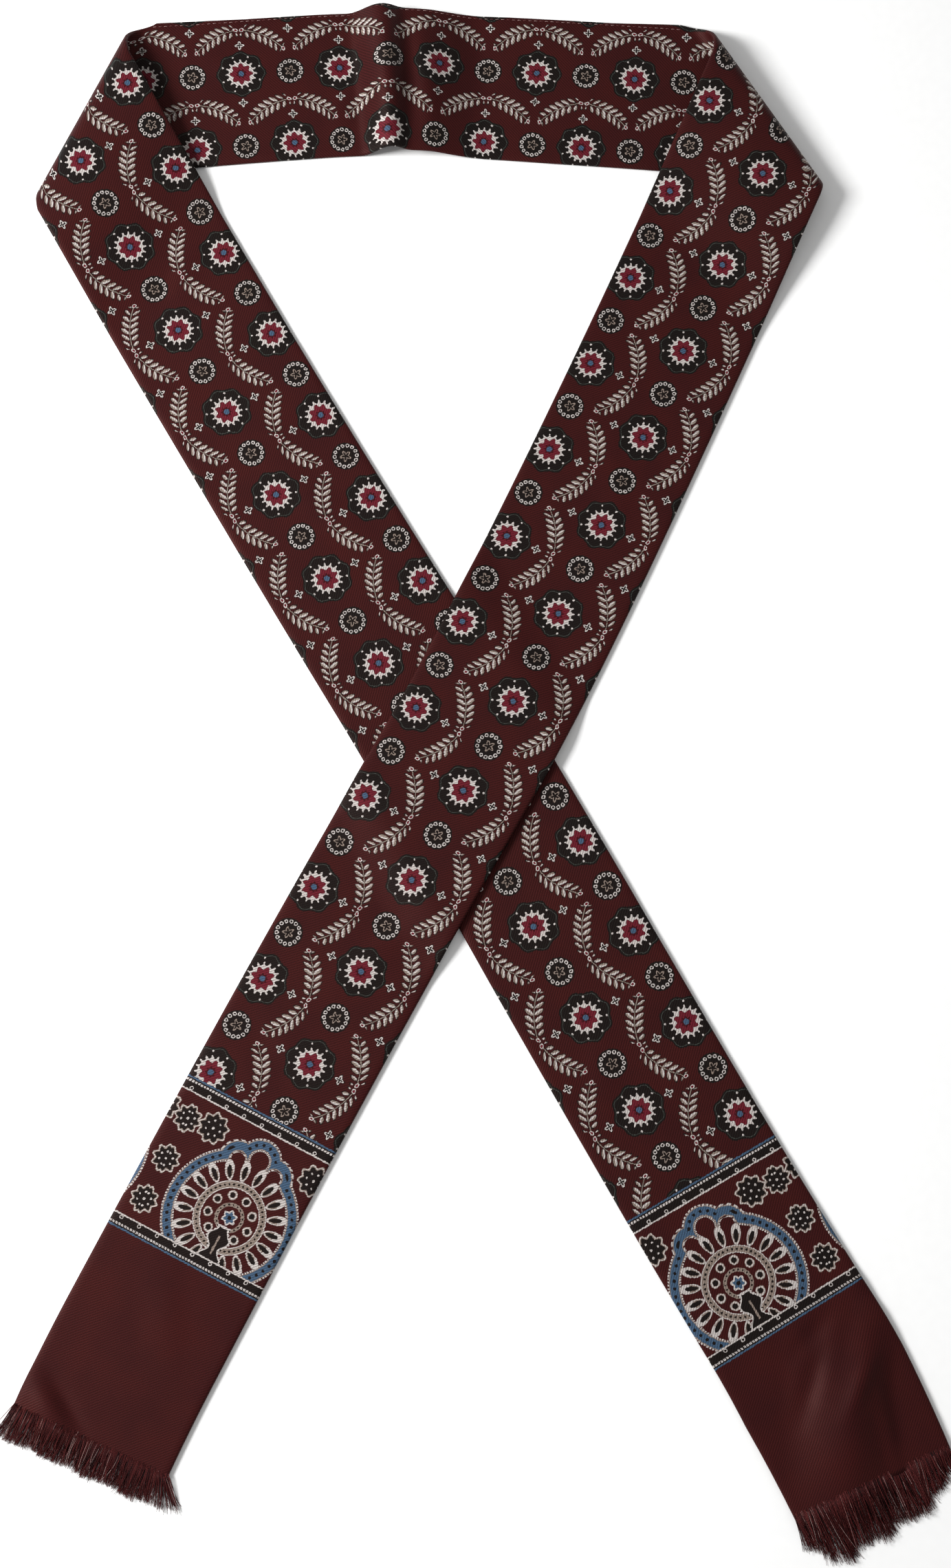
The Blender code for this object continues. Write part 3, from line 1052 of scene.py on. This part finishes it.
def arch_band(twill, colour, across, up, far, angle):
    """A blue band with dark dots and toothed edges, round a great ring and the three lobes of its crown."""
    crown_up = up - CROWN_UP
    crown_far, crown_angle = across.far(crown_up), across.angle(crown_up)
    shoulder = (abs(across) - SHOULDER_ACROSS).far(up - SHOULDER_UP) - SHOULDER_RADIUS
    main, crown = far - ARCH_RADIUS, (crown_far - CROWN_RADIUS).least(shoulder)
    band = main.least(crown)
    in_crown = main.above(crown)
    length = angle * ARCH_RADIUS * (1.0 - in_crown) + crown_angle * CROWN_RADIUS * in_crown
    teeth = abs((length / TOOTH_PITCH).wrapped(TOOTH_PITCH)) - TOOTH_HALF
    return twill.printed(
        colour,
        (CREAM, (abs(band) - TOOTHED_HALF).most(teeth)),
        (TAUPE, abs(band) - EDGED_HALF),
        (BLUE, abs(band) - BLUE_HALF),
        (INK, (length / ARCH_DOT_PITCH).wrapped(ARCH_DOT_PITCH).far(band) - ARCH_DOT),
    )


def petal_ring(twill, colour, far, angle):
    """Long cream petals with taupe bases and a dark slit in each."""
    beside = (angle * (PETALS / math.tau)).wrapped(math.tau * PETAL_ROOT / PETALS)
    outwards = far - PETAL_MIDDLE
    petal = (beside / PETAL_WIDTH).far(outwards / PETAL_LENGTH) - 1.0
    slit = (beside / SLIT_WIDTH).far((outwards + SLIT_INWARDS) / SLIT_LENGTH) - 1.0
    return twill.printed(
        colour,
        (CREAM, petal, PETAL_SOFT),
        (TAUPE, petal.most(outwards - PETAL_TIP) + PETAL_RIM, PETAL_SOFT),
        (INK, slit, PETAL_SOFT),
    )


def inner_rings(twill, colour, far, angle):
    """A beaded ring, a ring of buds, a small beaded ring and a lobed middle."""
    bud = beads(far, angle, BUDS)
    middle = lobed(far, (angle * MIDDLE_LOBES).cosine(), MIDDLE)
    return twill.printed(
        colour,
        (CREAM, lined(far, RING_EDGE)),
        (TAUPE, lined(far, RING)),
        (INK, beads(far, angle, RING_BEADS)),
        (TAUPE, bud),
        (CREAM, lined(bud, BUD_PIPING)),
        (INK, bud + BUD_RIM),
        (TAUPE, lined(far, SMALL_RING)),
        (INK, beads(far, angle, SMALL_RING_BEADS)),
        (CREAM, middle),
        (BLUE, middle + MIDDLE_RIM),
        (INK, far - MIDDLE_EYE),
    )


def palmette(twill, colour, across, up):
    """A dark leaf with a waist, a frilled cream edge and a taupe rib, up from the stripes."""
    waist = abs(across) - PALMETTE_HALF - PALMETTE_SWELL * (up * PALMETTE_WAVE).cosine()
    leaf = waist.most(up - PALMETTE_UP)
    return twill.printed(
        colour,
        (CREAM, leaf - FRILL_WIDTH - FRILL_DEPTH * (up * FRILL_WAVE).cosine()),
        (INK, leaf),
        (TAUPE, (abs(across) - RIB_HALF).most(lined(up, RIB))),
    )


def arches(twill, colour, up, round_tube):
    """The border: blue arches with a crown, each over rings and a palmette, and blossoms between them."""
    across = (round_tube / ARCH_REPEAT + ARCH_SHIFT).wrapped(ARCH_REPEAT)
    over = up - ARCH_UP
    far, angle = across.far(over), across.angle(over)
    colour = arch_band(twill, colour, across, up, far, angle)
    colour = petal_ring(twill, colour, far, angle)
    colour = inner_rings(twill, colour, far, angle)
    colour = palmette(twill, colour, across, up)
    colour = blossom(twill, colour, up - BLOSSOM_UP, abs(across) - BLOSSOM_ACROSS, BLOSSOM_RADIUS)
    tier = (up / JOIN_TIER).wrapped(JOIN_TIER)
    return blossom(twill, colour, tier, ARCH_REPEAT / 2 - abs(across), JOIN_RADIUS)


def stripe_group(twill, colour, depth, round_tube):
    """From outside: a thin blue line, cream dashes on black, a black band with tiny dots, a cream line."""
    dash = abs((round_tube / DASH_PITCH).wrapped(DASH_PITCH)) - DASH_HALF
    dot = (round_tube / DOT_PITCH).wrapped(DOT_PITCH).far(depth - DOT_DEPTH)
    return twill.printed(
        colour,
        (INK, -depth),
        (BLUE, lined(depth, BLUE_LINE)),
        (CREAM, lined(depth, DASHED_LINE).most(dash)),
        (CREAM, lined(dot, DOT_RIM)),
        (CREAM, lined(depth, CREAM_LINE)),
    )


def border(twill, ground, along, round_tube):
    """The border: arches between two groups of stripes, with the field above and the plain end below."""
    from_end = (along + UNDER_SHORT).least(STRIP - along)
    into_band = from_end - BAND_START
    depth = into_band.least(BAND_LENGTH - into_band)
    colour = half_drop(twill, ground, along, round_tube)
    colour = twill.laid(colour, ground, twill.inside(into_band - BAND_LENGTH))
    framed = arches(twill, ground, into_band - STRIPES, round_tube)
    colour = twill.laid(colour, framed, twill.inside(STRIPES - depth))
    striped = stripe_group(twill, ground, depth, round_tube)
    return twill.laid(colour, striped, twill.inside((-depth).most(depth - STRIPES)))


def silk_twill(name, design=None):
    """Burgundy silk twill with a printed design, or plain."""
    twill = Finish(name)
    place = twill.chart("strip")
    along, round_tube = twill.split(place)
    wale = ((along + round_tube) * (math.tau * math.sqrt(0.5) / WALE)).cosine()
    fleck = twill.noise(place, FLECK_SCALE) - 0.5
    smudge = (twill.noise(place, SMUDGE_SCALE) - 0.5) * BLEED
    along, round_tube = along + smudge, round_tube - smudge
    mottle = twill.noise(place, MOTTLE_SCALE, MOTTLE_DETAIL)
    ground = twill.laid((*BURGUNDY, 1.0), BURGUNDY_DEEP, twill.inside(0.5 - mottle, MOTTLE_SOFT))
    colour = design(twill, ground, along, round_tube) if design else ground
    twill.set(
        # The twill's lines paint shade in its grooves and a highlight on its ridges into the colour; the
        # flecks are random tone.
        Base_Color=twill.scaled(colour, SHADE + WALE_PAINTED_SHADE * wale + FLECK_SHADE * fleck),
        Roughness=TWILL_ROUGH + MOTTLE_ROUGH * mottle,
        Normal=twill.bump(WALE_HEIGHT * wale + FLECK_HEIGHT * fleck, WALE_STRENGTH, WALE_DEPTH),
        Specular_IOR_Level=TWILL_GLOSS,
        Specular_Tint=GLOSS_TINT,
        Sheen_Weight=TWILL_SHEEN,
        Sheen_Roughness=SHEEN_ROUGH,
        Sheen_Tint=SHEEN_TINT,
    )
    return twill.material


def frayed_thread():
    """Loose threads: mostly burgundy, some nearly black, a few pale, and all a little paler at the tip."""
    thread = Finish("frayed_thread")
    place = thread.add("ShaderNodeUVMap", {"uv_map": "thread"}, {})
    number, along = thread.split(place)
    scatter = (number * SCATTER).part()
    colour = thread.laid((*THREAD_DARK, 1.0), THREAD_RED, thread.inside(RED_FROM - scatter, RED_SOFT))
    colour = thread.laid(colour, THREAD_WARM, thread.inside(WARM_FROM - scatter, WARM_SOFT))
    pale = thread.inside(PALE_FROM - scatter, PALE_SOFT) * (PALE_ROOT + (1 - PALE_ROOT) * along)
    colour = thread.laid(colour, THREAD_PALE, pale)
    colour = thread.laid(colour, THREAD_WARM, TIP_WARMTH * (along * along))
    twist = (along * THREAD_TWIST + number * TWIST_SPREAD).cosine()
    thread.set(
        # Lighter on the twist's crests and darker in its grooves: painted highlight and painted shade.
        Base_Color=thread.scaled(colour, 0.9 + 0.25 * twist),
        Roughness=0.5 + 0.2 * scatter,
        Normal=thread.bump(twist, 0.3, 0.00005),
        Specular_IOR_Level=0.1,
    )
    return thread.material


def sewing_thread():
    """Pale pink sewing thread, twisted, with the burgundy's dye on some stitches."""
    sewing = Finish("sewing_thread")
    number, along = sewing.split(sewing.add("ShaderNodeUVMap", {"uv_map": "thread"}, {}))
    twist = (along * STITCH_TWIST).cosine()
    dyed = sewing.inside(DYE_FROM - (number * DYE_SCATTER).part(), DYE_SOFT)
    colour = sewing.laid((*STITCH_PALE, 1.0), STITCH_DYED, dyed)
    sewing.set(
        # Lighter on the twist's crests and darker in its grooves: painted highlight and painted shade.
        Base_Color=sewing.scaled(colour, 0.85 + 0.2 * twist),
        Roughness=0.55 + 0.1 * twist,
        Normal=sewing.bump(twist, 0.4, 0.00006),
    )
    return sewing.material


def pale_card():
    """The table's matt card, with a faint grain."""
    card = Finish("pale_card")
    place = card.add("ShaderNodeTexCoord", {}, {}, 3)
    grain = card.noise(place, CARD_GRAIN)
    card.set(
        Base_Color=card.scaled(TABLE_COLOUR, 0.99 + 0.02 * grain),
        Roughness=0.75 + 0.1 * grain,
        Specular_IOR_Level=0.2,
    )
    return card.material


def table_top():
    mesh = bmesh.new()
    bmesh.ops.create_grid(mesh, x_segments=1, y_segments=1, size=TABLE_SIZE)
    table = linked("table_top", mesh, pale_card())
    table.location.z = TABLE_LEVEL
    return table


def soft_light(name, place, size, power):
    """A square light box that faces the middle of the scarf."""
    lamp = bpy.data.lights.new(name, "AREA")
    lamp.size = size
    lamp.energy = power
    holder = bpy.data.objects.new(name, lamp)
    holder.location = place
    holder.rotation_euler = (-Vector(place)).to_track_quat("-Z", "Y").to_euler()
    bpy.context.scene.collection.objects.link(holder)


def studio():
    scene = bpy.context.scene
    scene.view_settings.view_transform = "Standard"
    scene.world = bpy.data.worlds.new("studio")
    scene.world.use_nodes = True
    sky = scene.world.node_tree.nodes["Background"]
    sky.inputs["Color"].default_value = SKY
    sky.inputs["Strength"].default_value = SKY_STRENGTH
    soft_light("key_light", KEY_PLACE, KEY_SIZE, KEY_POWER)
    tilt = math.radians(TILT)
    lens = bpy.data.cameras.new("camera")
    lens.lens = LENS
    lens.clip_end = 20.0
    camera = bpy.data.objects.new("camera", lens)
    camera.location = (
        AIM[0] * MM,
        (AIM[1] - DISTANCE * math.sin(tilt)) * MM,
        DISTANCE * math.cos(tilt) * MM,
    )
    camera.rotation_euler = (tilt, 0.0, 0.0)
    scene.collection.objects.link(camera)
    scene.camera = camera


def main():
    field = silk_twill("printed_field", half_drop)
    framed = silk_twill("printed_border", border)
    plain = silk_twill("plain_end")
    frayed, sewing = frayed_thread(), sewing_thread()
    random = np.random.default_rng(THREAD_SEED)
    cloth = dressed_cloth((field, framed, plain))
    under_end = frayed_end(
        "frayed_end_under", UNDER, UNDER_FOLD, UNDER_RIDGES, None, UNDER_LOCKS, random, frayed
    )
    over_end = frayed_end(
        "frayed_end_over", OVER, OVER_FOLD, OVER_RIDGES, UNDER, OVER_LOCKS, random, frayed
    )
    stitches = seam_stitches(sewing)
    for piece in (cloth, under_end, over_end, stitches):
        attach(piece, BODY)
    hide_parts("neck", "leg_under", "leg_over")
    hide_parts("fringe_under_upper", "fringe_under_lower")
    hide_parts("fringe_over_upper", "fringe_over_lower")
    STRIP * MM
    table_top()
    studio()
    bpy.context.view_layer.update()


main()
